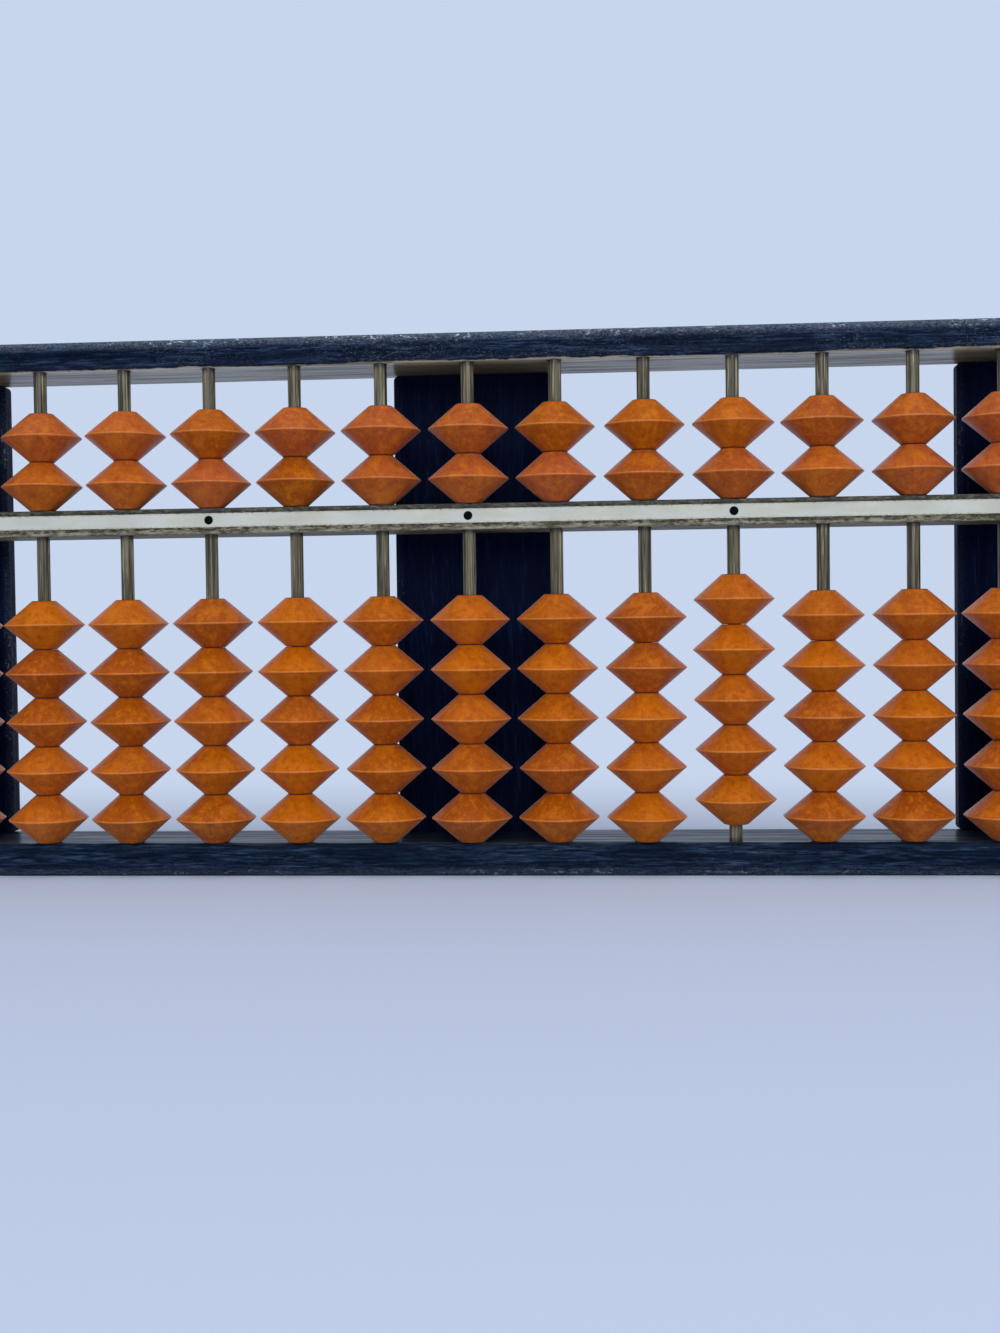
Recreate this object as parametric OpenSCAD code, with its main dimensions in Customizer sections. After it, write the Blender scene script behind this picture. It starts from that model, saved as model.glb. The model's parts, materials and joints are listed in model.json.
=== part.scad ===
// Abacus with two beads above the beam and five below it on every rod.
// X runs along the frame, Y from the front to the back, Z up; the frame stands on its bottom rail.

/* [Columns] */
// Number of rods, an odd number so that one is in the middle
columns = 15; // [5:2:15]
// Beads on each rod below the beam
lower_beads = 5; // [4:1:6]
// Beads on each rod above the beam
upper_beads = 2; // [1:1:2]
// Columns from one unit dot to the next, counted from the middle rod
dot_every = 3; // [2:1:5]

/* [Beads] */
// Diameter of a bead at its ridge
bead_d = 18.5; // [16:0.1:24]
// Height of a bead along its rod
bead_h = 11.3; // [9:0.1:15]
// Diameter of the flat face at each end of a bead
bead_face_d = 5.5; // [5.2:0.1:9]
// Height of the narrow band that a bead's ridge is worn to
ridge_h = 0.3; // [0.2:0.1:2]
// Space between the ridges of two neighbouring columns
column_gap = 1.5; // [0.6:0.1:6]
// Way that the lower beads can slide
lower_travel = 14.8; // [6:0.1:25]
// Way that the upper beads can slide
upper_travel = 9.5; // [5:0.1:20]

/* [Rods] */
// Diameter of a rod
rod_d = 3; // [2:0.1:4]
// Length of a rod's end inside a rail
rod_seat = 4; // [2:0.5:5]

/* [Rails and end pieces] */
// Height of the bottom rail
bottom_rail_h = 7.6; // [6.5:0.1:14]
// Height of the top rail
top_rail_h = 6.6; // [6.2:0.1:14]
// Thickness of an end piece
end_t = 8; // [6:0.5:16]
// Space between an outermost bead and the end piece
end_room = 1.65; // [0.6:0.05:6]
// Rounding of the frame's long edges
frame_edge_r = 1; // [0.3:0.1:2]
// Length of an end piece's tenon
end_tenon = 4; // [2:0.5:5]
// Step from an end piece's faces to its tenon
end_shoulder = 2; // [1:0.5:2.5]
// Distance from the frame's front and back faces to the end tenons
tenon_inset = 5; // [3:0.5:8]

/* [Beam] */
// Height of the beam
beam_h = 6; // [5:0.1:10]
// Space between the beam and the back boards
beam_gap = 4.3; // [0.5:0.1:6]
// Rounding of the beam's long edges
beam_edge_r = 0.5; // [0.2:0.1:1]
// Length of the beam's tenon in an end piece
beam_tenon = 3; // [1.5:0.5:4]
// Step from the beam's faces to its tenon
beam_shoulder = 1; // [0.5:0.1:1.5]

/* [Inlay] */
// Height of the pale strip in the beam's front
strip_h = 3.2; // [2.6:0.1:3.6]
// Thickness of the strip
strip_t = 0.6; // [0.3:0.1:1.5]
// Height of the strip's lower edge above the beam's underside
strip_up = 1.6; // [0.5:0.1:2]
// Wood between the strip's groove and the rods
strip_backing = 0.3; // [0.2:0.1:2]
// Diameter of a unit dot
dot_d = 2; // [1:0.1:2.4]

/* [Back boards] */
// Width of the left back board
left_board_w = 35.6; // [20:0.1:60]
// Width of the middle back board
centre_board_w = 38.8; // [20:0.1:60]
// Width of the right back board
right_board_w = 37.6; // [20:0.1:60]
// Thickness of a back board
board_t = 3.6; // [3:0.1:8]
// Rounding of a board's corners at the rails
board_corner_r = 1.2; // [0.4:0.1:4]
// Space between the beads and the back boards
bead_back_room = 8.45; // [1:0.05:12]
// Length of a board's tenon in a rail
board_tenon = 3; // [1.5:0.5:4]
// Step from a board's front and back faces to its tenon
board_cheek = 1; // [0.6:0.1:1.2]
// Step from a board's side edges to its tenon
board_shoulder = 4; // [2:0.5:8]

/* [Corner pins] */
// Diameter of the wooden pin through each end tenon
pin_d = 1.6; // [1:0.1:1.8]
// Length of a corner pin
pin_l = 12; // [8:0.5:14]

/* [Beads at rest] */
// Column whose lower beads are held up a little, counted from the left, or 0 for none
raised_column = 11; // [0:1:15]
// Height that those beads are held up
raised_by = 3.9; // [0:0.1:5.5]

/* [Clearances] */
// Play between a rod and a bead's bore, on the radius
bead_play = 0.25; // [0.05:0.05:0.6]
// Gap between resting faces of beads, rails and beam
rest_gap = 0.04; // [0.02:0.01:0.2]
// Play around a rod in its rail and beam holes, on the radius
rod_fit = 0.03; // [0.01:0.01:0.1]
// Play around tenons, pins and boards
joint_fit = 0.05; // [0.02:0.01:0.15]
// Play around the strip and the dots
inlay_fit = 0.02; // [0.01:0.01:0.05]
// Free space past the end of a rod or tenon
end_play = 0.3; // [0.1:0.1:0.6]

/* [Hidden] */
$fn = 64;

pitch = bead_d + column_gap;
middle = (columns + 1) / 2;
bead_step = bead_h + rest_gap;
dot_columns = [for (k = [1:columns]) if ((k - middle) % dot_every == 0) k];

rod_cover = strip_t + strip_backing;
rail_depth = rod_cover + rod_d / 2 + bead_d / 2 + bead_back_room + board_t;
beam_depth = rail_depth - board_t - beam_gap;
front_to_rods = rod_cover + rod_d / 2;

lower_deck_h = lower_beads * bead_step + rest_gap + lower_travel;
upper_deck_h = upper_beads * bead_step + rest_gap + upper_travel;
beam_z = bottom_rail_h + lower_deck_h;
beam_top_z = beam_z + beam_h;
top_rail_z = beam_top_z + upper_deck_h;

inner_w = (columns - 1) * pitch + bead_d + 2 * end_room;
frame_w = inner_w + 2 * end_t;

// The beads stand proud of the frame, so the part's depth runs from their ridges to the boards.
rods_y = (bead_d / 2 - (rail_depth - front_to_rods)) / 2;
front_y = rods_y - front_to_rods;
back_y = front_y + rail_depth;
boards_y = back_y - board_t;

end_tenon_w = end_t - 2 * end_shoulder;
end_tenon_d = rail_depth - 2 * tenon_inset;
board_widths = [left_board_w, centre_board_w, right_board_w];
board_tenon_t = board_t - 2 * board_cheek;
pin_z = [bottom_rail_h - end_tenon / 2, top_rail_z + end_tenon / 2];
end_x = [-(inner_w + end_t) / 2, (inner_w + end_t) / 2];
board_x = [-(inner_w - left_board_w) / 2 + joint_fit, 0, (inner_w - right_board_w) / 2 - joint_fit];

frame_colour = "#15171d";
beam_colour = "#4a4030";
rod_colour = "#8d8258";
bead_colour = "#c4661c";
strip_colour = "#d9d3bd";
dot_colour = "#101010";

function column_x(k) = (k - middle) * pitch;
function lift(k) = k == raised_column ? raised_by : 0;

// ---- Shared shapes ----

// A w by h rectangle with its lower left corner at the origin and rounded corners.
module rounded_rect(w, h, r) {
    translate([r, 0]) square([w - 2 * r, h]);
    translate([0, r]) square([w, h - 2 * r]);
    for (x = [r, w - r], y = [r, h - r])
        translate([x, y]) circle(r);
}

// A bar along X, centred on x = 0, with its front lower edge at y, z.
module bar(length, depth, height, y, z, r) {
    translate([-length / 2, y, z])
        rotate([90, 0, 90])
            linear_extrude(length) rounded_rect(depth, height, r);
}

// A box centred on x, y that reaches from z = low to z = high.
module block(w, d, low, high, x, y) {
    translate([x - w / 2, y - d / 2, low])
        cube([w, d, high - low]);
}

// The rods' own cylinders, grown by play, from z = low to z = high.
module rod_row(play, low, high) {
    for (k = [1:columns])
        translate([column_x(k), rods_y, low])
            cylinder(d = rod_d + 2 * play, h = high - low);
}

// The tongue of the end piece centred on x, grown by play, from z = low to z = high.
module end_tongue(x, play, low, high) {
    block(end_tenon_w + 2 * play, end_tenon_d + 2 * play, low, high, x, front_y + rail_depth / 2);
}

// The tongue of board i, counted from the left, grown by play, from z = low to z = high.
module board_tongue(i, play, low, high) {
    block(board_widths[i] - 2 * board_shoulder + 2 * play, board_tenon_t + 2 * play, low, high,
          board_x[i], boards_y + board_t / 2);
}

// The beam's tongues as one bar of the given length, grown by play.
module beam_tongues(play, length) {
    shrink = beam_shoulder - play;
    translate([-length / 2, front_y + shrink, beam_z + shrink])
        cube([length, beam_depth - 2 * shrink, beam_h - 2 * shrink]);
}

// The four corner pins, grown by play; extra reaches past their outer ends.
module pin_set(play, extra = 0) {
    for (x = end_x, z = pin_z)
        translate([x, back_y - pin_l - extra, z])
            rotate([-90, 0, 0])
                cylinder(d = pin_d + 2 * play, h = pin_l + 2 * extra);
}

// The sockets for all rods, end pieces and boards, which reach into both rails.
module rail_sockets() {
    rod_row(rod_fit, bottom_rail_h - rod_seat - end_play, top_rail_z + rod_seat + end_play);
    for (x = end_x)
        end_tongue(x, joint_fit, bottom_rail_h - end_tenon - end_play, top_rail_z + end_tenon + end_play);
    for (i = [0:2])
        board_tongue(i, joint_fit, bottom_rail_h - board_tenon - end_play,
                     top_rail_z + board_tenon + end_play);
    pin_set(joint_fit, end_play);
}

// ---- Frame ----

module bottom_rail() {
    color(frame_colour)
        difference() {
            bar(frame_w, rail_depth, bottom_rail_h, front_y, 0, frame_edge_r);
            rail_sockets();
        }
}

module top_rail() {
    color(frame_colour)
        difference() {
            bar(frame_w, rail_depth, top_rail_h, front_y, top_rail_z, frame_edge_r);
            rail_sockets();
        }
}

// An end piece centred on x, between the rails and with a tongue in each.
module end_piece(x) {
    low = bottom_rail_h + rest_gap;
    high = top_rail_z - rest_gap;
    color(frame_colour)
        difference() {
            union() {
                translate([x - end_t / 2, front_y, low])
                    linear_extrude(high - low) rounded_rect(end_t, rail_depth, frame_edge_r);
                end_tongue(x, 0, bottom_rail_h - end_tenon, top_rail_z + end_tenon);
            }
            beam_tongues(joint_fit, inner_w + 2 * (beam_tenon + end_play));
            pin_set(joint_fit, end_play);
        }
}

module left_end() {
    end_piece(end_x[0]);
}

module right_end() {
    end_piece(end_x[1]);
}

module corner_pins() {
    color(rod_colour) pin_set(0);
}

// ---- Back boards ----

// Back board i, counted from the left, between the rails and with a tongue in each.
module back_board(i) {
    low = bottom_rail_h + rest_gap;
    high = top_rail_z - rest_gap;
    color(frame_colour) {
        translate([board_x[i] - board_widths[i] / 2, back_y, low])
            rotate([90, 0, 0])
                linear_extrude(board_t) rounded_rect(board_widths[i], high - low, board_corner_r);
        board_tongue(i, 0, bottom_rail_h - board_tenon, top_rail_z + board_tenon);
    }
}

module left_board() {
    back_board(0);
}

module centre_board() {
    back_board(1);
}

module right_board() {
    back_board(2);
}

// ---- Beam, strip and dots ----

module beam() {
    groove_d = strip_t + inlay_fit;
    color(beam_colour)
        difference() {
            union() {
                bar(inner_w - 2 * joint_fit, beam_depth, beam_h, front_y, beam_z, beam_edge_r);
                beam_tongues(0, inner_w + 2 * beam_tenon);
            }
            rod_row(rod_fit, beam_z - end_play, beam_top_z + end_play);
            translate([-inner_w / 2, front_y - end_play, beam_z + strip_up - inlay_fit])
                cube([inner_w, groove_d + end_play, strip_h + 2 * inlay_fit]);
        }
}

// The unit dots' own cylinders, grown by play, from the strip's front into it.
module dot_row(play, extra = 0) {
    for (k = dot_columns)
        translate([column_x(k), front_y - extra, beam_z + strip_up + strip_h / 2])
            rotate([-90, 0, 0])
                cylinder(d = dot_d + 2 * play, h = strip_t + 2 * extra);
}

module beam_strip() {
    length = inner_w - 2 * joint_fit;
    color(strip_colour)
        difference() {
            translate([-length / 2, front_y, beam_z + strip_up])
                cube([length, strip_t, strip_h]);
            dot_row(inlay_fit, end_play);
        }
}

module unit_dots() {
    color(dot_colour) dot_row(0);
}

// ---- Rods and beads ----

module rods() {
    color(rod_colour) rod_row(0, bottom_rail_h - rod_seat, top_rail_z + rod_seat);
}

// A double cone with flat ends and a bore, standing on z = 0.
module bead() {
    bore_r = rod_d / 2 + bead_play;
    ridge_low = (bead_h - ridge_h) / 2;
    rotate_extrude()
        polygon([
            [bore_r, 0],
            [bead_face_d / 2, 0],
            [bead_d / 2, ridge_low],
            [bead_d / 2, ridge_low + ridge_h],
            [bead_face_d / 2, bead_h],
            [bore_r, bead_h]
        ]);
}

// The lower beads of column k as one stack, which rests on the bottom rail or is held up.
module lower_stack(k) {
    color(bead_colour)
        for (i = [0:lower_beads - 1])
            translate([column_x(k), rods_y, bottom_rail_h + rest_gap + lift(k) + i * bead_step])
                bead();
}

// Bead i of column k above the beam, counted upward.
module upper_bead(k, i) {
    color(bead_colour)
        translate([column_x(k), rods_y, beam_top_z + rest_gap + (i - 1) * bead_step])
            bead();
}

bottom_rail();
top_rail();
left_end();
right_end();
corner_pins();
left_board();
centre_board();
right_board();
beam();
beam_strip();
unit_dots();
rods();
for (k = [1:columns])
    lower_stack(k);
for (k = [1:columns], i = [1:upper_beads])
    upper_bead(k, i);
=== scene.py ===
"""Looks of the abacus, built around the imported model: turned beads, stained wood, bamboo, inlay."""

import json
import math
import random

import bmesh
import bpy
from mathutils import Matrix, Vector


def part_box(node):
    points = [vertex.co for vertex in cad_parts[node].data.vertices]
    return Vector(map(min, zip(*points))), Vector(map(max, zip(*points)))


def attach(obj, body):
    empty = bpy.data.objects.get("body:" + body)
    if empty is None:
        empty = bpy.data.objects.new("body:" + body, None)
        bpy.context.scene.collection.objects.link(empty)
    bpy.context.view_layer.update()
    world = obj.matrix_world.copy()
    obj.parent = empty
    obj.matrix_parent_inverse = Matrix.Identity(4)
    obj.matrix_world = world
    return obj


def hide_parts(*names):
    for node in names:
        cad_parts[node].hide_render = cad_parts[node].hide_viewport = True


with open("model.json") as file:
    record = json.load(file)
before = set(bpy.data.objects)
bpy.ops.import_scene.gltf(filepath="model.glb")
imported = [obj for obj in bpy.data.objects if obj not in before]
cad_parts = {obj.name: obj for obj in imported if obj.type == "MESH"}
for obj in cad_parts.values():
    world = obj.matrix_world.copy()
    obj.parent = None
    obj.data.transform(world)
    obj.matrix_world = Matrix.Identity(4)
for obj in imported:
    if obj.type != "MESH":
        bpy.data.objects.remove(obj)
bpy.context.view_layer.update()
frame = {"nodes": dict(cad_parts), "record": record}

# Lengths are in metres, apart from those in the materials, which are in millimetres.
MM = 0.001
MM_PER_M = 1000
X, Y, Z = 0, 1, 2

# ---- Places that the looks are tied to, from the frame ----

BODIES = frame["record"]["behaviour"]["bodies"]
RODS_LOW, RODS_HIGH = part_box("rods")
RODS_Y = (RODS_LOW.y + RODS_HIGH.y) / 2
BOTTOM_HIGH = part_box("bottom_rail")[1]
TOP_LOW, TOP_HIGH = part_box("top_rail")
BEAM_LOW, BEAM_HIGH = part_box("beam")
STRIP_LOW, STRIP_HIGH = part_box("beam_strip")
BEAD_LOW, BEAD_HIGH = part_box("upper_bead_1_1")
BEAD_H = BEAD_HIGH.z - BEAD_LOW.z
BEAD_R = (BEAD_HIGH.x - BEAD_LOW.x) / 2
FIRST_ROD_X = (BEAD_LOW.x + BEAD_HIGH.x) / 2
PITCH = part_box("upper_bead_2_1")[0].x - BEAD_LOW.x

# ---- Camera ----

CAMERA_FROM_RODS = Vector((35.1, -365.4, 58.3)) * MM
CAMERA_YAW = 0.0776
CAMERA_PITCH = -0.0285
CAMERA_ROLL = 0.0128
DOWN_TO_LEVEL = math.radians(90)
SENSOR = 36.0
FOCAL_IN_HEIGHTS = 1.2003
NEAREST_SEEN = 0.01
FURTHEST_SEEN = 20


def make_camera():
    """A camera a little right of the middle column, level with the lower beads."""
    data = bpy.data.cameras.new("camera")
    data.sensor_width = SENSOR
    data.lens = SENSOR * FOCAL_IN_HEIGHTS
    data.clip_start = NEAREST_SEEN
    data.clip_end = FURTHEST_SEEN
    camera = bpy.data.objects.new("camera", data)
    bpy.context.scene.collection.objects.link(camera)
    turn = (
        Matrix.Rotation(CAMERA_YAW, 4, "Z")
        @ Matrix.Rotation(CAMERA_PITCH, 4, "X")
        @ Matrix.Rotation(CAMERA_ROLL, 4, "Y")
        @ Matrix.Rotation(DOWN_TO_LEVEL, 4, "X")
    )
    place = CAMERA_FROM_RODS + Vector((0, RODS_Y, 0))
    camera.matrix_world = Matrix.Translation(place) @ turn
    bpy.context.scene.camera = camera


# ---- Shader helpers ----

SURFACE_INPUTS = {
    "base_color": "Base Color",
    "roughness": "Roughness",
    "normal": "Normal",
    "specular": "Specular IOR Level",
    "coat": "Coat Weight",
    "coat_roughness": "Coat Roughness",
    "sheen": "Sheen Weight",
    "sheen_roughness": "Sheen Roughness",
    "sheen_tint": "Sheen Tint",
}

# Sockets of a Mix node that mixes colours.
MIX_FACTOR, MIX_A, MIX_B = 0, 6, 7
MIX_RESULT = 2

# Few points of a noise lie below or above these.
NOISE_LOW, NOISE_HIGH = 0.3, 0.7


def rgb(red, green, blue):
    """A display colour from 0 to 255 as the linear colour that shaders take."""
    linear = []
    for value in (red, green, blue):
        part = value / 255
        linear.append(part / 12.92 if part <= 0.04045 else ((part + 0.055) / 1.055) ** 2.4)
    return (*linear, 1.0)


def drawn_out(axis, factor):
    """Factors for noise() that draw its pattern out along one axis."""
    factors = [1.0, 1.0, 1.0]
    factors[axis] = factor
    return factors


class Nodes:
    """One node tree, with short calls for the nodes that this script adds."""

    def __init__(self, tree):
        self.tree = tree

    def node(self, kind, inputs=(), **settings):
        """Adds a node; a socket among the inputs is linked and anything else is set."""
        made = self.tree.nodes.new(kind)
        for key, value in settings.items():
            setattr(made, key, value)
        for key, value in dict(inputs).items():
            self.feed(made.inputs[key], value)
        return made

    def feed(self, socket, value):
        if isinstance(value, bpy.types.NodeSocket):
            self.tree.links.new(value, socket)
        else:
            socket.default_value = value

    def math(self, operation, a, b=0.0, clamp=False):
        made = self.node("ShaderNodeMath", {0: a, 1: b}, operation=operation, use_clamp=clamp)
        return made.outputs[0]

    def plus(self, a, b, clamp=False):
        return self.math("ADD", a, b, clamp)

    def minus(self, a, b):
        return self.math("SUBTRACT", a, b)

    def times(self, a, b, clamp=False):
        return self.math("MULTIPLY", a, b, clamp)

    def seen_rays(self):
        """1 for a camera, glossy or transmission ray, which meet the backdrop's own colour."""
        rays = self.node("ShaderNodeLightPath").outputs
        seen = self.math("MAXIMUM", rays["Is Camera Ray"], rays["Is Glossy Ray"])
        return self.math("MAXIMUM", seen, rays["Is Transmission Ray"])


class Shader(Nodes):
    """A new material and its nodes, among them its surface, a Principled BSDF."""

    def __init__(self, name):
        self.material = bpy.data.materials.new(name)
        self.material.use_nodes = True
        super().__init__(self.material.node_tree)
        self.surface = self.tree.nodes["Principled BSDF"]

    def set(self, **inputs):
        """Sets or links inputs of the surface, by their names in SURFACE_INPUTS."""
        for key, value in inputs.items():
            self.feed(self.surface.inputs[SURFACE_INPUTS[key]], value)

    def scale(self, vector, factors):
        made = self.node("ShaderNodeVectorMath", {0: vector, 1: factors}, operation="MULTIPLY")
        return made.outputs[0]

    def length(self, vector):
        return self.node("ShaderNodeVectorMath", {0: vector}, operation="LENGTH").outputs["Value"]

    def axes(self, vector):
        return tuple(self.node("ShaderNodeSeparateXYZ", {0: vector}).outputs)

    def attribute(self, name, output):
        return self.node("ShaderNodeAttribute", attribute_name=name).outputs[output]

    def place_mm(self):
        """Place on the object in millimetres, which moves with the piece."""
        coordinates = self.node("ShaderNodeTexCoord").outputs["Object"]
        return self.scale(coordinates, (MM_PER_M, MM_PER_M, MM_PER_M))

    def apart(self, coordinate, level):
        """How far a coordinate in mm is from a level of the frame."""
        return self.math("ABSOLUTE", self.minus(coordinate, level * MM_PER_M))

    def near_rods(self, place, far, near):
        """0 at far mm from the middle of the nearest rod and beyond, rising to 1 at near mm."""
        across, deep, _ = self.axes(place)
        pitch = PITCH * MM_PER_M
        columns = self.math("DIVIDE", self.minus(across, FIRST_ROD_X * MM_PER_M), pitch)
        aside = self.times(self.minus(columns, self.math("ROUND", columns)), pitch)
        behind = self.minus(deep, RODS_Y * MM_PER_M)
        flat = self.node("ShaderNodeCombineXYZ", {"X": aside, "Y": behind}).outputs[0]
        return self.ramp(self.length(flat), near, far, 1.0, 0.0)

    def near_edges(self, place, low, high, axes, width):
        """1 on a box's faces across one axis, or on the edges between its faces across two.

        It falls to 0 at width mm from there, added up over the axes.
        """
        parts = self.axes(place)
        total = 0.0
        for axis in axes:
            to_low = self.minus(parts[axis], low[axis] * MM_PER_M)
            to_high = self.minus(high[axis] * MM_PER_M, parts[axis])
            total = self.plus(total, self.math("MINIMUM", to_low, to_high))
        return self.ramp(total, 0.0, width, 1.0, 0.0)

    def noise(self, place, scale, factors=None, *, detail, roughness=0.55, distortion=0.0):
        inputs = {
            "Vector": place if factors is None else self.scale(place, factors),
            "Scale": scale,
            "Detail": detail,
            "Roughness": roughness,
            "Distortion": distortion,
        }
        return self.node("ShaderNodeTexNoise", inputs).outputs[0]

    def ramp(self, value, low, high, out_low=0.0, out_high=1.0):
        """A smooth step from out_low to out_high as value goes from low to high."""
        inputs = {
            "Value": value,
            "From Min": low,
            "From Max": high,
            "To Min": out_low,
            "To Max": out_high,
        }
        made = self.node("ShaderNodeMapRange", inputs, interpolation_type="SMOOTHSTEP")
        return made.outputs[0]

    def spread(self, noise, out_low, out_high):
        """Spreads a noise over the values from out_low to out_high."""
        return self.ramp(noise, NOISE_LOW, NOISE_HIGH, out_low, out_high)

    def mix(self, factor, a, b):
        """The colour a at factor 0, b at factor 1, and a blend between."""
        inputs = {MIX_FACTOR: factor, MIX_A: a, MIX_B: b}
        return self.node("ShaderNodeMix", inputs, data_type="RGBA").outputs[MIX_RESULT]

    def lay(self, colour, tint, noise, start, full, strength=1.0):
        """Lays a tint over the colour, from nothing where noise is start to strength at full."""
        return self.mix(self.ramp(noise, start, full, 0.0, strength), colour, tint)

    def bump(self, height, strength, distance):
        inputs = {"Strength": strength, "Distance": distance * MM, "Height": height}
        return self.node("ShaderNodeBump", inputs).outputs[0]


# ---- Stained wood ----

# Dark, middle and light.
RAIL_SHADES = (rgb(1, 9, 29), rgb(25, 42, 66), rgb(60, 74, 96))
# The rail's stain a little lighter for the bottom rail: painted light that makes up for the dimmer
# light on its front face.
LOWER_RAIL_SHADES_PAINTED_LIGHTER = (rgb(5, 16, 34), rgb(30, 48, 72), rgb(64, 78, 98))
BOARD_SHADES = (rgb(1, 9, 36), rgb(7, 22, 54), rgb(22, 42, 74))
SCUFF = rgb(104, 112, 124)
FLECK = rgb(196, 202, 212)
EDGE_WIDTH = 2.6

# A level face that is rubbed bare: its height in the frame; its colour at the front, the one
# that this has turned into at depth mm, and the streaks' colour; the dark ring round each rod,
# grime and painted shade where the rod and the beads meet the wood, by how far from the rod's
# middle it ends and is fullest, and its strength; and how much of a polish the sliding of beads
# and hands has left, which mirrors what lies behind the frame.
UNDERSIDE = {
    "height": TOP_LOW.z,
    "front": rgb(200, 196, 164),
    "back": rgb(136, 131, 104),
    "depth": 7.0,
    "streak": rgb(112, 107, 84),
    "grime_and_shade_ring_end": 2.15,
    "grime_and_shade_ring_full": 1.75,
    "grime_and_shade_ring_strength": 0.65,
    "polish": 0.66,
}
BEAD_SEAT = {
    "height": BOTTOM_HIGH.z,
    "front": rgb(52, 61, 70),
    "back": rgb(36, 46, 60),
    "depth": 8.0,
    "streak": rgb(12, 22, 36),
    "grime_and_shade_ring_end": 4.0,
    "grime_and_shade_ring_full": 2.2,
    "grime_and_shade_ring_strength": 0.45,
    "polish": 0.49,
}

# Shares of a face's polish where the broad noise is low and where it is high.
MOST_POLISH, LEAST_POLISH = 1.35, 0.6

# Node, axis of its grain, shades, how scuffed it is, and its bare face.
STAINED_NODES = (
    ("top_rail", X, RAIL_SHADES, 1.0, UNDERSIDE),
    ("bottom_rail", X, LOWER_RAIL_SHADES_PAINTED_LIGHTER, 0.26, BEAD_SEAT),
    ("left_end", Z, RAIL_SHADES, 0.6, None),
    ("right_end", Z, RAIL_SHADES, 0.6, None),
    ("left_board", Z, BOARD_SHADES, 0.3, None),
    ("centre_board", Z, BOARD_SHADES, 0.12, None),
    ("right_board", Z, BOARD_SHADES, 0.12, None),
)


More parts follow.
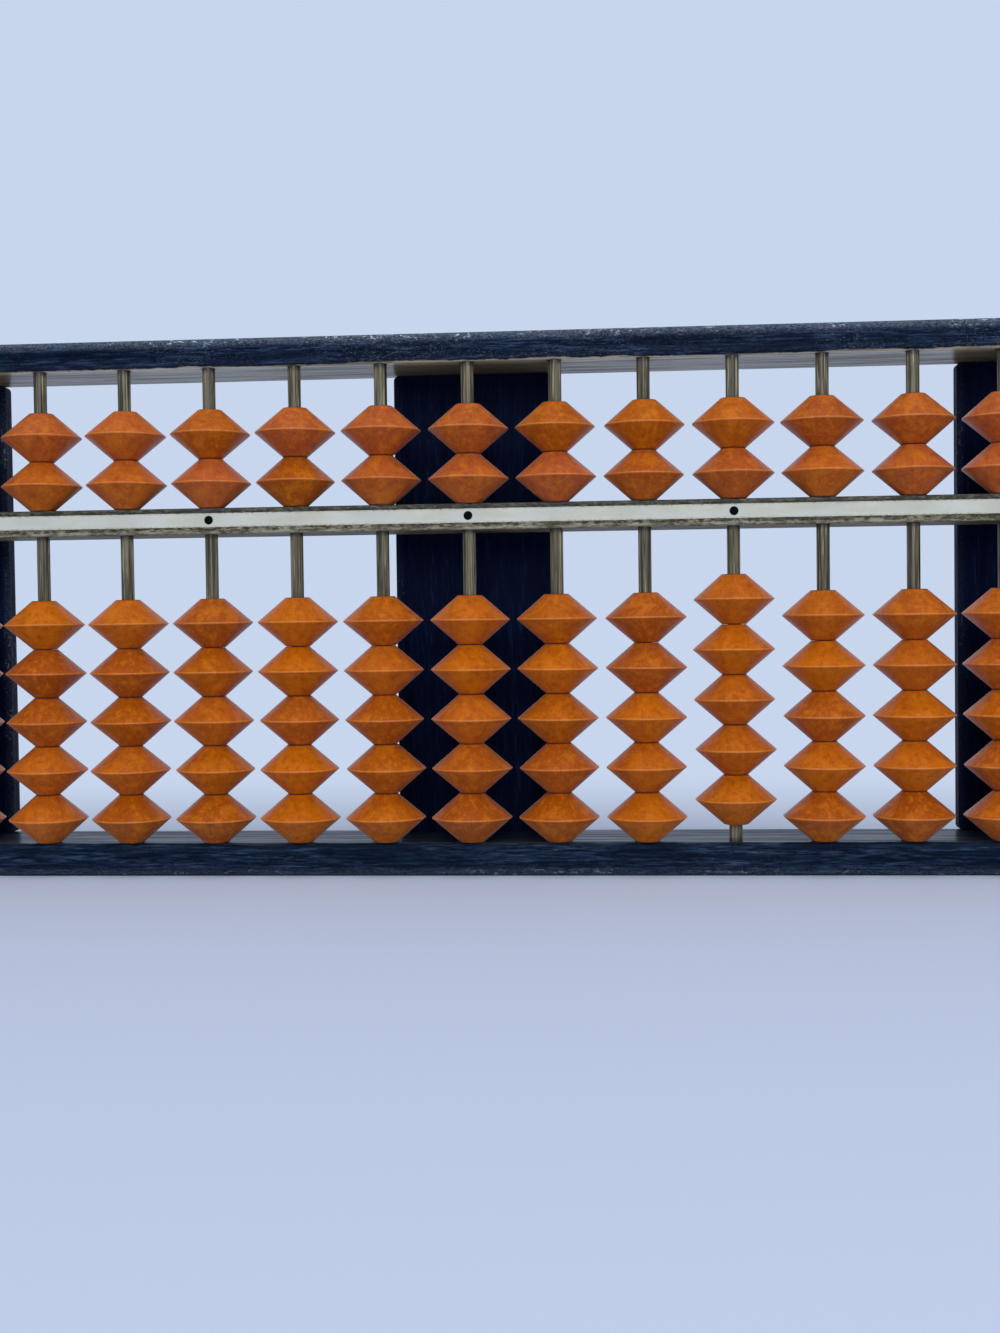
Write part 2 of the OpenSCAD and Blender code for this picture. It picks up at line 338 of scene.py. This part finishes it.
class StainedWood(Shader):
    """Black-stained wood of one node, with worn edges and, on a rail, one face rubbed bare."""

    def __init__(self, node, grain, shades, scuffs, face):
        super().__init__(node + "_wood")
        self.dark, self.middle, self.light = shades
        low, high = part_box(node)
        place = self.place_mm()
        self.make_noises(place, grain)

        across = [axis for axis in (X, Y, Z) if axis != grain]
        edges = self.near_edges(place, low, high, across, EDGE_WIDTH)
        if face is not None:
            away = self.apart(self.axes(place)[Z], face["height"])
            edges = self.times(edges, self.ramp(away, 1.6, 3.6, 0.08, 1.0))
        colour = self.scuffed(self.stain(), edges, scuffs)
        rough = self.spread(self.fibres, 0.42, 0.6)
        if face is not None:
            depth = self.minus(self.axes(place)[Y], low.y * MM_PER_M)
            shown = self.bare_part(away, depth)
            colour = self.mix(shown, colour, self.bare_wood(depth, face))
            # Dark ring round each rod, also on the front face just under the bare face: grime and
            # painted shade where the rod and the beads meet the wood.
            rings = self.near_rods(place, face["grime_and_shade_ring_end"], face["grime_and_shade_ring_full"])
            rings = self.times(rings, self.ramp(away, 0.2, 0.9, face["grime_and_shade_ring_strength"], 0.0))
            colour = self.mix(rings, colour, self.dark)
            rough = self.plus(rough, self.times(shown, 0.15), clamp=True)
            most, least = MOST_POLISH * face["polish"], LEAST_POLISH * face["polish"]
            shine = self.ramp(self.broad, 0.4, 0.6, most, least)
            self.set(coat=self.times(shown, shine), coat_roughness=0.28)
        self.set(
            base_color=colour,
            roughness=rough,
            specular=0.03,
            normal=self.bump(self.plus(self.fibres, self.times(self.specks, 0.5)), 0.5, 0.12),
        )

    def make_noises(self, place, grain):
        """Fibres, broad streaks, specks and chips along the grain, and patches with none."""
        fine, long, short = (drawn_out(grain, factor) for factor in (0.09, 0.05, 0.4))
        self.fibres = self.noise(place, 2.2, fine, detail=4, roughness=0.68, distortion=0.3)
        self.broad = self.noise(place, 0.6, long, detail=3, roughness=0.6)
        self.specks = self.noise(place, 4.2, short, detail=3, roughness=0.75)
        self.chips = self.noise(place, 1.6, short, detail=4, roughness=0.75)
        self.patches = self.noise(place, 0.05, detail=3, roughness=0.65)

    def stain(self):
        colour = self.lay(self.dark, self.middle, self.fibres, 0.36, 0.66)
        colour = self.lay(colour, self.dark, self.broad, 0.55, 0.35, 0.75)
        pale = self.times(self.ramp(self.fibres, 0.5, 0.72), self.ramp(self.broad, 0.42, 0.66))
        return self.mix(pale, colour, self.light)

    def scuffed(self, colour, edges, scuffs):
        """The colour with paler edges, scuffs along them and here and there, and chips."""
        colour = self.mix(self.times(edges, 0.5 * scuffs), colour, self.light)
        rubbed = self.times(edges, self.ramp(self.specks, 0.4, 0.62))
        in_patches = self.ramp(self.patches, 0.46, 0.62, 0.1, 0.6)
        stray = self.times(self.ramp(self.specks, 0.56, 0.7), in_patches)
        worn = self.times(self.math("MAXIMUM", rubbed, stray), scuffs, clamp=True)
        colour = self.mix(worn, colour, SCUFF)
        chipped = self.times(self.ramp(self.chips, 0.56, 0.64), self.ramp(self.patches, 0.48, 0.56))
        chipped = self.times(chipped, self.times(edges, scuffs), clamp=True)
        return self.mix(chipped, colour, FLECK)

    def bare_part(self, away, depth):
        """1 on the bare face, whose front edge is ragged and in places torn further up."""
        ragged = self.times(self.minus(self.chips, 0.5), 0.6)
        ragged = self.plus(ragged, self.ramp(self.patches, 0.52, 0.62, 0.0, -0.3))
        shown = self.ramp(self.plus(away, ragged), 0.02, 0.2, 1.0, 0.0)
        upright = self.axes(self.node("ShaderNodeNewGeometry").outputs["True Normal"])[Z]
        level = self.ramp(self.math("ABSOLUTE", upright), 0.5, 0.9)
        torn = self.ramp(self.patches, 0.54, 0.64, 0.0, 0.5)
        torn = self.times(torn, self.ramp(depth, 0.5, 0.1))
        return self.times(shown, self.math("MAXIMUM", level, torn))

    def bare_wood(self, depth, face):
        wood = self.lay(face["front"], face["back"], depth, 0.6, face["depth"])
        wood = self.lay(wood, face["streak"], self.fibres, 0.48, 0.34, 0.8)
        wood = self.lay(wood, face["streak"], self.broad, 0.5, 0.62, 0.7)
        return self.lay(wood, self.middle, self.chips, 0.6, 0.68, 0.6)


# ---- Other materials of the frame ----


def beam_wood():
    """The beam's worn olive-brown wood, with dark grime along the strip."""
    sh = Shader("beam_wood")
    place = sh.place_mm()
    fibres = sh.noise(place, 2.2, drawn_out(X, 0.1), detail=4, roughness=0.7, distortion=0.4)
    grime = sh.noise(place, 1.7, drawn_out(X, 0.4), detail=4, roughness=0.75)
    patches = sh.noise(place, 0.12, drawn_out(X, 0.6), detail=3, roughness=0.6)

    colour = sh.lay(rgb(62, 58, 44), rgb(150, 146, 122), fibres, 0.36, 0.64)
    colour = sh.lay(colour, rgb(78, 72, 56), patches, 0.5, 0.62, 0.75)
    colour = sh.lay(colour, rgb(152, 152, 140), patches, 0.46, 0.36, 0.5)

    height = sh.axes(place)[Z]
    below = sh.minus(STRIP_LOW.z * MM_PER_M, height)
    above = sh.minus(height, STRIP_HIGH.z * MM_PER_M)
    under = sh.times(sh.ramp(below, 1.3, 0.5), sh.ramp(below, -0.3, 0.0))
    over = sh.times(sh.ramp(above, 1.1, 0.3), sh.ramp(above, -0.3, 0.0))
    soot = sh.lay(rgb(40, 40, 35), rgb(68, 68, 64), fibres, 0.36, 0.64)
    colour = sh.lay(colour, soot, above, -0.1, 0.2, 0.85)
    crust = sh.times(sh.math("MAXIMUM", under, over), sh.ramp(grime, 0.42, 0.58))
    colour = sh.mix(sh.times(crust, 0.9), colour, rgb(32, 29, 20))
    colour = sh.lay(colour, rgb(44, 40, 30), grime, 0.58, 0.68, 0.7)

    edges = sh.near_edges(place, BEAM_LOW, BEAM_HIGH, (Y, Z), 1.3)
    rubbed = sh.times(edges, sh.ramp(grime, 0.52, 0.4, 0.0, 0.7))
    rubbed = sh.times(rubbed, sh.ramp(above, -0.1, 0.2, 1.0, 0.3))
    colour = sh.mix(rubbed, colour, rgb(166, 162, 138))

    sh.set(
        base_color=colour,
        roughness=sh.spread(fibres, 0.45, 0.62),
        specular=0.2,
        normal=sh.bump(sh.plus(fibres, grime), 0.5, 0.12),
    )
    return sh.material


def ivory_strip():
    """Aged ivory-white sheet with a few faint smudges and dirt along its edges."""
    sh = Shader("strip_ivory")
    place = sh.place_mm()
    smudges = sh.noise(place, 0.3, drawn_out(X, 0.4), detail=4, roughness=0.6)
    specks = sh.noise(place, 2.4, drawn_out(X, 0.5), detail=4, roughness=0.75)
    colour = sh.lay(rgb(197, 201, 192), rgb(190, 192, 176), smudges, 0.36, 0.66)
    edges = sh.near_edges(place, STRIP_LOW, STRIP_HIGH, (Z,), 0.45)
    colour = sh.mix(sh.times(edges, 0.5), colour, rgb(188, 188, 160))
    dirt = sh.times(edges, sh.ramp(specks, 0.48, 0.62))
    colour = sh.mix(sh.times(dirt, 0.7), colour, rgb(96, 92, 74))
    marks = sh.times(sh.ramp(specks, 0.6, 0.72), sh.ramp(smudges, 0.54, 0.66))
    colour = sh.mix(sh.times(marks, 0.5), colour, rgb(98, 98, 90))
    sh.set(
        base_color=colour,
        roughness=sh.spread(specks, 0.35, 0.5),
        specular=0.3,
        normal=sh.bump(specks, 0.15, 0.05),
    )
    return sh.material


def dot_paint():
    """The black filling of the unit dots."""
    sh = Shader("dot_black")
    grains = sh.noise(sh.place_mm(), 3.0, detail=3)
    sh.set(
        base_color=sh.lay(rgb(1, 2, 4), rgb(9, 11, 15), grains, 0.35, 0.65),
        roughness=sh.spread(grains, 0.5, 0.7),
        specular=0.04,
        normal=sh.bump(grains, 0.3, 0.05),
    )
    return sh.material


def bamboo():
    """Rods: olive-grey bamboo with dark and pale fibres, and grime with painted shade where a rod
    meets wood.
    """
    sh = Shader("bamboo")
    place = sh.place_mm()
    fibres = sh.noise(place, 1.3, drawn_out(Z, 0.02), detail=4, roughness=0.7)
    lines = sh.noise(place, 3.0, drawn_out(Z, 0.02), detail=2, roughness=0.6)
    stains = sh.noise(place, 0.3, drawn_out(Z, 0.35), detail=4, roughness=0.65)
    colour = sh.lay(rgb(50, 46, 32), rgb(112, 105, 82), fibres, 0.38, 0.62)
    colour = sh.lay(colour, rgb(30, 27, 18), lines, 0.54, 0.66, 0.8)
    colour = sh.lay(colour, rgb(170, 164, 134), lines, 0.43, 0.33, 0.75)
    colour = sh.lay(colour, rgb(74, 56, 38), stains, 0.55, 0.7, 0.5)
    height = sh.axes(place)[Z]
    to_wood = sh.apart(height, BOTTOM_HIGH.z)
    for level in (BEAM_LOW.z, BEAM_HIGH.z, TOP_LOW.z):
        to_wood = sh.math("MINIMUM", to_wood, sh.apart(height, level))
    # Darker close to the rails and the beam: painted shade where the rod enters the wood, with grime.
    colour = sh.mix(sh.ramp(to_wood, 0.3, 1.5, 0.7, 0.0), colour, rgb(26, 22, 15))
    sh.set(
        base_color=colour,
        roughness=sh.spread(fibres, 0.2, 0.32),
        specular=0.32,
        normal=sh.bump(fibres, 0.4, 0.1),
    )
    return sh.material


def pin_wood():
    """End grain of the dark dowels that lock the corners."""
    sh = Shader("pin_wood")
    rings = sh.noise(sh.place_mm(), 3.5, drawn_out(Y, 0.05), detail=5)
    sh.set(
        base_color=sh.lay(rgb(34, 28, 24), rgb(86, 72, 54), rings, 0.35, 0.65),
        roughness=sh.spread(rings, 0.5, 0.7),
        specular=0.2,
        normal=sh.bump(rings, 0.4, 0.08),
    )
    return sh.material


def dress(node, material):
    """Gives a CAD node its material."""
    mesh = frame["nodes"][node].data
    mesh.materials.clear()
    mesh.materials.append(material)


def dress_frame():
    for node, grain, shades, scuffs, face in STAINED_NODES:
        dress(node, StainedWood(node, grain, shades, scuffs, face).material)
    dress("beam", beam_wood())
    dress("beam_strip", ivory_strip())
    dress("unit_dots", dot_paint())
    dress("rods", bamboo())
    dress("corner_pins", pin_wood())


# ---- Beads ----

LOWER_COUNT = 5
UPPER_COUNT = 1
BORE_R = 1.75 * MM
FACE_R = 2.77 * MM
RIDGE_ROUND = 0.15 * MM
FACE_ROUND = 0.12 * MM
BORE_ROUND = 0.15 * MM
ARC_STEPS = 3
LONG_STRETCH = 2 * MM
SUPPORT_SHARES = (0.05, 0.35, 0.65, 0.95)
SIDES = 72
SEAM = 0.02 * MM
MAX_TILT = 0.006
MAX_SHIFT = 0.16 * MM
SLIMMEST = 0.975
MAX_GRAIN_TILT = 0.12
MAX_GRAIN_SHIFT_MM = 500
# Most of a bead's random paler, greyer tint: fading, and on the upper beads mostly a painted sheen of
# the light from above.
LOWER_FADING_AND_SHEEN = 0.25
UPPER_FADING_AND_SHEEN = 0.85


def bead_wood():
    """Orange-dyed turned wood, painted from what add_bead() writes on each vertex."""
    sh = Shader("bead_wood")
    place = sh.attribute("grain_place", "Vector")
    tone = sh.attribute("tone", "Fac")
    fading_and_sheen = sh.attribute("fading_and_sheen", "Fac")
    rise = sh.math("ABSOLUTE", sh.attribute("rise", "Fac"))

    mottle = sh.noise(place, 0.26, drawn_out(Z, 0.5), detail=5, roughness=0.62, distortion=0.4)
    streaks = sh.noise(place, 0.7, drawn_out(Z, 0.06), detail=3, roughness=0.55)
    fibres = sh.noise(place, 1.7, drawn_out(Z, 0.1), detail=3, roughness=0.6)
    turned = sh.noise(place, 3.4, (0.12, 0.12, 1.0), detail=2, roughness=0.6)
    pores = sh.noise(place, 4.5, drawn_out(Z, 0.4), detail=2, roughness=0.6)

    colour = sh.mix(tone, rgb(153, 73, 4), rgb(189, 99, 0))
    # A random paler, greyer tint: fading, and a painted sheen of the light from above, strongest on
    # the upper beads.
    colour = sh.mix(fading_and_sheen, colour, rgb(176, 86, 50))
    colour = sh.lay(colour, rgb(208, 116, 16), mottle, 0.48, 0.66, 0.5)
    colour = sh.lay(colour, rgb(152, 66, 12), mottle, 0.48, 0.32, 0.4)
    colour = sh.lay(colour, rgb(206, 112, 18), streaks, 0.52, 0.68, 0.5)
    colour = sh.lay(colour, rgb(144, 62, 10), streaks, 0.46, 0.32, 0.45)
    colour = sh.lay(colour, rgb(214, 124, 34), fibres, 0.52, 0.68, 0.3)
    colour = sh.lay(colour, rgb(132, 56, 8), fibres, 0.46, 0.3, 0.25)
    colour = sh.lay(colour, rgb(138, 60, 12), turned, 0.56, 0.68, 0.2)
    colour = sh.lay(colour, rgb(112, 44, 8), pores, 0.6, 0.7, 0.12)
    cracks = sh.times(sh.ramp(mottle, 0.66, 0.72), sh.ramp(fibres, 0.5, 0.6))
    colour = sh.mix(sh.times(cracks, 0.45), colour, rgb(96, 38, 10))

    # Lighter line along each bead's ridge: worn colour and a painted highlight.
    ridge_wear_and_highlight = sh.ramp(rise, 0.02, 0.05, 1.0, 0.0)
    colour = sh.mix(sh.times(ridge_wear_and_highlight, 0.4), colour, rgb(222, 140, 76))
    # Dark brown next to each bead's faces, where beads touch each other or the rail: grime and
    # painted shade.
    neck_grime_and_shade = sh.ramp(rise, 0.955, 0.995)
    colour = sh.mix(sh.times(neck_grime_and_shade, 0.85), colour, rgb(84, 28, 8))

    sh.set(
        base_color=colour,
        roughness=sh.spread(mottle, 0.32, 0.44),
        specular=0.14,
        sheen=0.34,
        sheen_roughness=0.3,
        sheen_tint=rgb(222, 216, 216),
        normal=sh.bump(sh.plus(fibres, turned), 0.3, 0.06),
    )
    return sh.material


def filleted(corners, radii):
    """The closed outline with each corner replaced by an arc of its radius."""
    outline = []
    count = len(corners)
    for index, radius in enumerate(radii):
        corner = Vector(corners[index])
        before = (Vector(corners[index - 1]) - corner).normalized()
        after = (Vector(corners[(index + 1) % count]) - corner).normalized()
        half = before.angle(after) / 2
        reach = radius / math.tan(half)
        centre = corner + (before + after).normalized() * (radius / math.sin(half))
        start = (corner + before * reach - centre).normalized()
        end = (corner + after * reach - centre).normalized()
        for step in range(ARC_STEPS + 1):
            outline.append(centre + start.slerp(end, step / ARC_STEPS) * radius)
    return outline


def with_support(outline):
    """Adds points along every long stretch, so that smooth shading stays flat there."""
    dense = []
    for index, point in enumerate(outline):
        following = outline[(index + 1) % len(outline)]
        dense.append(point)
        stretch = following - point
        if stretch.length > LONG_STRETCH:
            for share in SUPPORT_SHARES:
                dense.append(point + stretch * share)
    return dense


def bead_outline():
    """Half section of a bead as (radius, height above its middle), ridge at the full radius."""
    half_h = (BEAD_H - SEAM) / 2
    flank = math.atan2(half_h, BEAD_R - FACE_R)
    tip_r = BEAD_R + RIDGE_ROUND * (1 / math.sin(flank) - 1)
    corners = [
        (BORE_R, -half_h),
        (FACE_R, -half_h),
        (tip_r, 0),
        (FACE_R, half_h),
        (BORE_R, half_h),
    ]
    radii = [BORE_ROUND, FACE_ROUND, RIDGE_ROUND, FACE_ROUND, BORE_ROUND]
    return with_support(filleted(corners, radii))


def add_bead(bm, layers, outline, centre, most_fading_and_sheen, rng):
    """Turns one bead about its rod, a little tilted and off centre as its play allows."""

    def either_way(most):
        return rng.uniform(-most, most)

    tilt = Matrix.Rotation(either_way(MAX_TILT), 3, "X")
    tilt @= Matrix.Rotation(either_way(MAX_TILT), 3, "Y")
    shift = Vector((either_way(MAX_SHIFT), either_way(MAX_SHIFT), 0))
    grain_turn = Matrix.Rotation(rng.uniform(0, math.tau), 3, "Z")
    grain_turn @= Matrix.Rotation(either_way(MAX_GRAIN_TILT), 3, "X")
    grain_shift = Vector([either_way(MAX_GRAIN_SHIFT_MM) for _ in (X, Y, Z)])
    tone = rng.random()
    fading_and_sheen = most_fading_and_sheen * rng.random()
    girth = rng.uniform(SLIMMEST, 1.0)
    rings = []
    for side in range(SIDES):
        turn = Matrix.Rotation(math.tau * side / SIDES, 3, "Z")
        ring = []
        for point in outline:
            radius = BORE_R + (point.x - BORE_R) * girth
            local = turn @ Vector((radius, 0, point.y))
            vertex = bm.verts.new(centre + shift + tilt @ local)
            vertex[layers["grain_place"]] = grain_turn @ (local * MM_PER_M) + grain_shift
            vertex[layers["tone"]] = tone
            vertex[layers["fading_and_sheen"]] = fading_and_sheen
            vertex[layers["rise"]] = point.y / (BEAD_H / 2)
            ring.append(vertex)
        rings.append(ring)
    for side in range(SIDES):
        ring, following = rings[side], rings[(side + 1) % SIDES]
        for index in range(len(outline)):
            after = (index + 1) % len(outline)
            face = bm.faces.new((ring[index], following[index], following[after], ring[after]))
            face.smooth = True


def make_beads(node, count, most_fading_and_sheen, outline, material):
    """The count beads of one CAD node as one piece that moves with the node's body."""
    low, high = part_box(node)
    step = 0 if count == 1 else (high.z - low.z - BEAD_H) / (count - 1)
    bm = bmesh.new()
    layers = {
        "grain_place": bm.verts.layers.float_vector.new("grain_place"),
        "tone": bm.verts.layers.float.new("tone"),
        "fading_and_sheen": bm.verts.layers.float.new("fading_and_sheen"),
        "rise": bm.verts.layers.float.new("rise"),
    }
    rng = random.Random(node)
    for index in range(count):
        centre = Vector(((low.x + high.x) / 2, RODS_Y, low.z + BEAD_H / 2 + index * step))
        add_bead(bm, layers, outline, centre, most_fading_and_sheen, rng)
    name = node.replace("_bead", "_turned_bead")
    mesh = bpy.data.meshes.new(name)
    bm.normal_update()
    bm.to_mesh(mesh)
    bm.free()
    mesh.materials.append(material)
    piece = bpy.data.objects.new(name, mesh)
    bpy.context.scene.collection.objects.link(piece)
    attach(piece, node)
    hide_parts(node)


def make_all_beads():
    material = bead_wood()
    outline = bead_outline()
    for body in BODIES:
        if body.startswith("lower_beads"):
            make_beads(body, LOWER_COUNT, LOWER_FADING_AND_SHEEN, outline, material)
        elif body.startswith("upper_bead"):
            make_beads(body, UPPER_COUNT, UPPER_FADING_AND_SHEEN, outline, material)


# ---- Stage ----

BACKDROP = rgb(200, 214, 237)
FLOOR = rgb(196, 208, 230)
FLOOR_REACH = 3.0

# The floor keeps its own look near this point, and fades into the backdrop away from it.
CLEAR_MIDDLE = (0.0, -0.15, 0.0)
CLEAR_SHAPE = (0.7, 1.0, 1.0)
FADE_START, FADE_END = 0.17, 0.4

SKY = rgb(236, 241, 255)
SKY_STRENGTH = 0.5

# Name, place, side and power of each lamp.
LAMPS = (
    ("key", (0.1, -0.45, 1.1), 0.9, 4.0),
    ("front", (0.15, -1.25, 0.65), 0.8, 9.0),
)


def floor_paint():
    """Pale paint that fades into the backdrop's colour away from the object."""
    sh = Shader("floor_paint")
    sh.set(base_color=FLOOR, roughness=0.85, specular=0.2)
    inputs = {0: sh.node("ShaderNodeTexCoord").outputs["Object"], 1: CLEAR_MIDDLE}
    apart = sh.node("ShaderNodeVectorMath", inputs, operation="SUBTRACT").outputs[0]
    away = sh.length(sh.scale(apart, CLEAR_SHAPE))
    fade = sh.times(sh.ramp(away, FADE_START, FADE_END), sh.seen_rays())
    glow = sh.node("ShaderNodeEmission", {"Color": BACKDROP}).outputs[0]
    blend = sh.node("ShaderNodeMixShader", {0: fade, 1: sh.surface.outputs[0], 2: glow})
    sh.feed(sh.tree.nodes["Material Output"].inputs["Surface"], blend.outputs[0])
    return sh.material


def make_floor():
    mesh = bpy.data.meshes.new("floor")
    reach = FLOOR_REACH
    corners = [(-reach, -reach, 0), (reach, -reach, 0), (reach, reach, 0), (-reach, reach, 0)]
    mesh.from_pydata(corners, [], [(0, 1, 2, 3)])
    mesh.materials.append(floor_paint())
    floor = bpy.data.objects.new("floor", mesh)
    bpy.context.scene.collection.objects.link(floor)


def make_world():
    """Soft light from all sides; a camera, mirror or glass sees the backdrop's own colour."""
    world = bpy.data.worlds.new("studio")
    bpy.context.scene.world = world
    world.use_nodes = True
    nodes = Nodes(world.node_tree)
    light = nodes.tree.nodes["Background"]
    nodes.feed(light.inputs["Color"], SKY)
    nodes.feed(light.inputs["Strength"], SKY_STRENGTH)
    seen = nodes.node("ShaderNodeBackground", {"Color": BACKDROP})
    inputs = {0: nodes.seen_rays(), 1: light.outputs[0], 2: seen.outputs[0]}
    blend = nodes.node("ShaderNodeMixShader", inputs)
    nodes.feed(nodes.tree.nodes["World Output"].inputs["Surface"], blend.outputs[0])


def add_lamp(name, place, side, power):
    """A square soft lamp that faces the middle of the object."""
    data = bpy.data.lights.new(name, "AREA")
    data.size = side
    data.energy = power
    lamp = bpy.data.objects.new(name, data)
    lamp.location = place
    target = Vector((0, 0, TOP_HIGH.z / 2))
    lamp.rotation_euler = (target - lamp.location).to_track_quat("-Z", "Y").to_euler()
    bpy.context.scene.collection.objects.link(lamp)


make_camera()
make_all_beads()
dress_frame()
make_floor()
make_world()
for lamp_facts in LAMPS:
    add_lamp(*lamp_facts)
bpy.context.scene.view_settings.view_transform = "Standard"
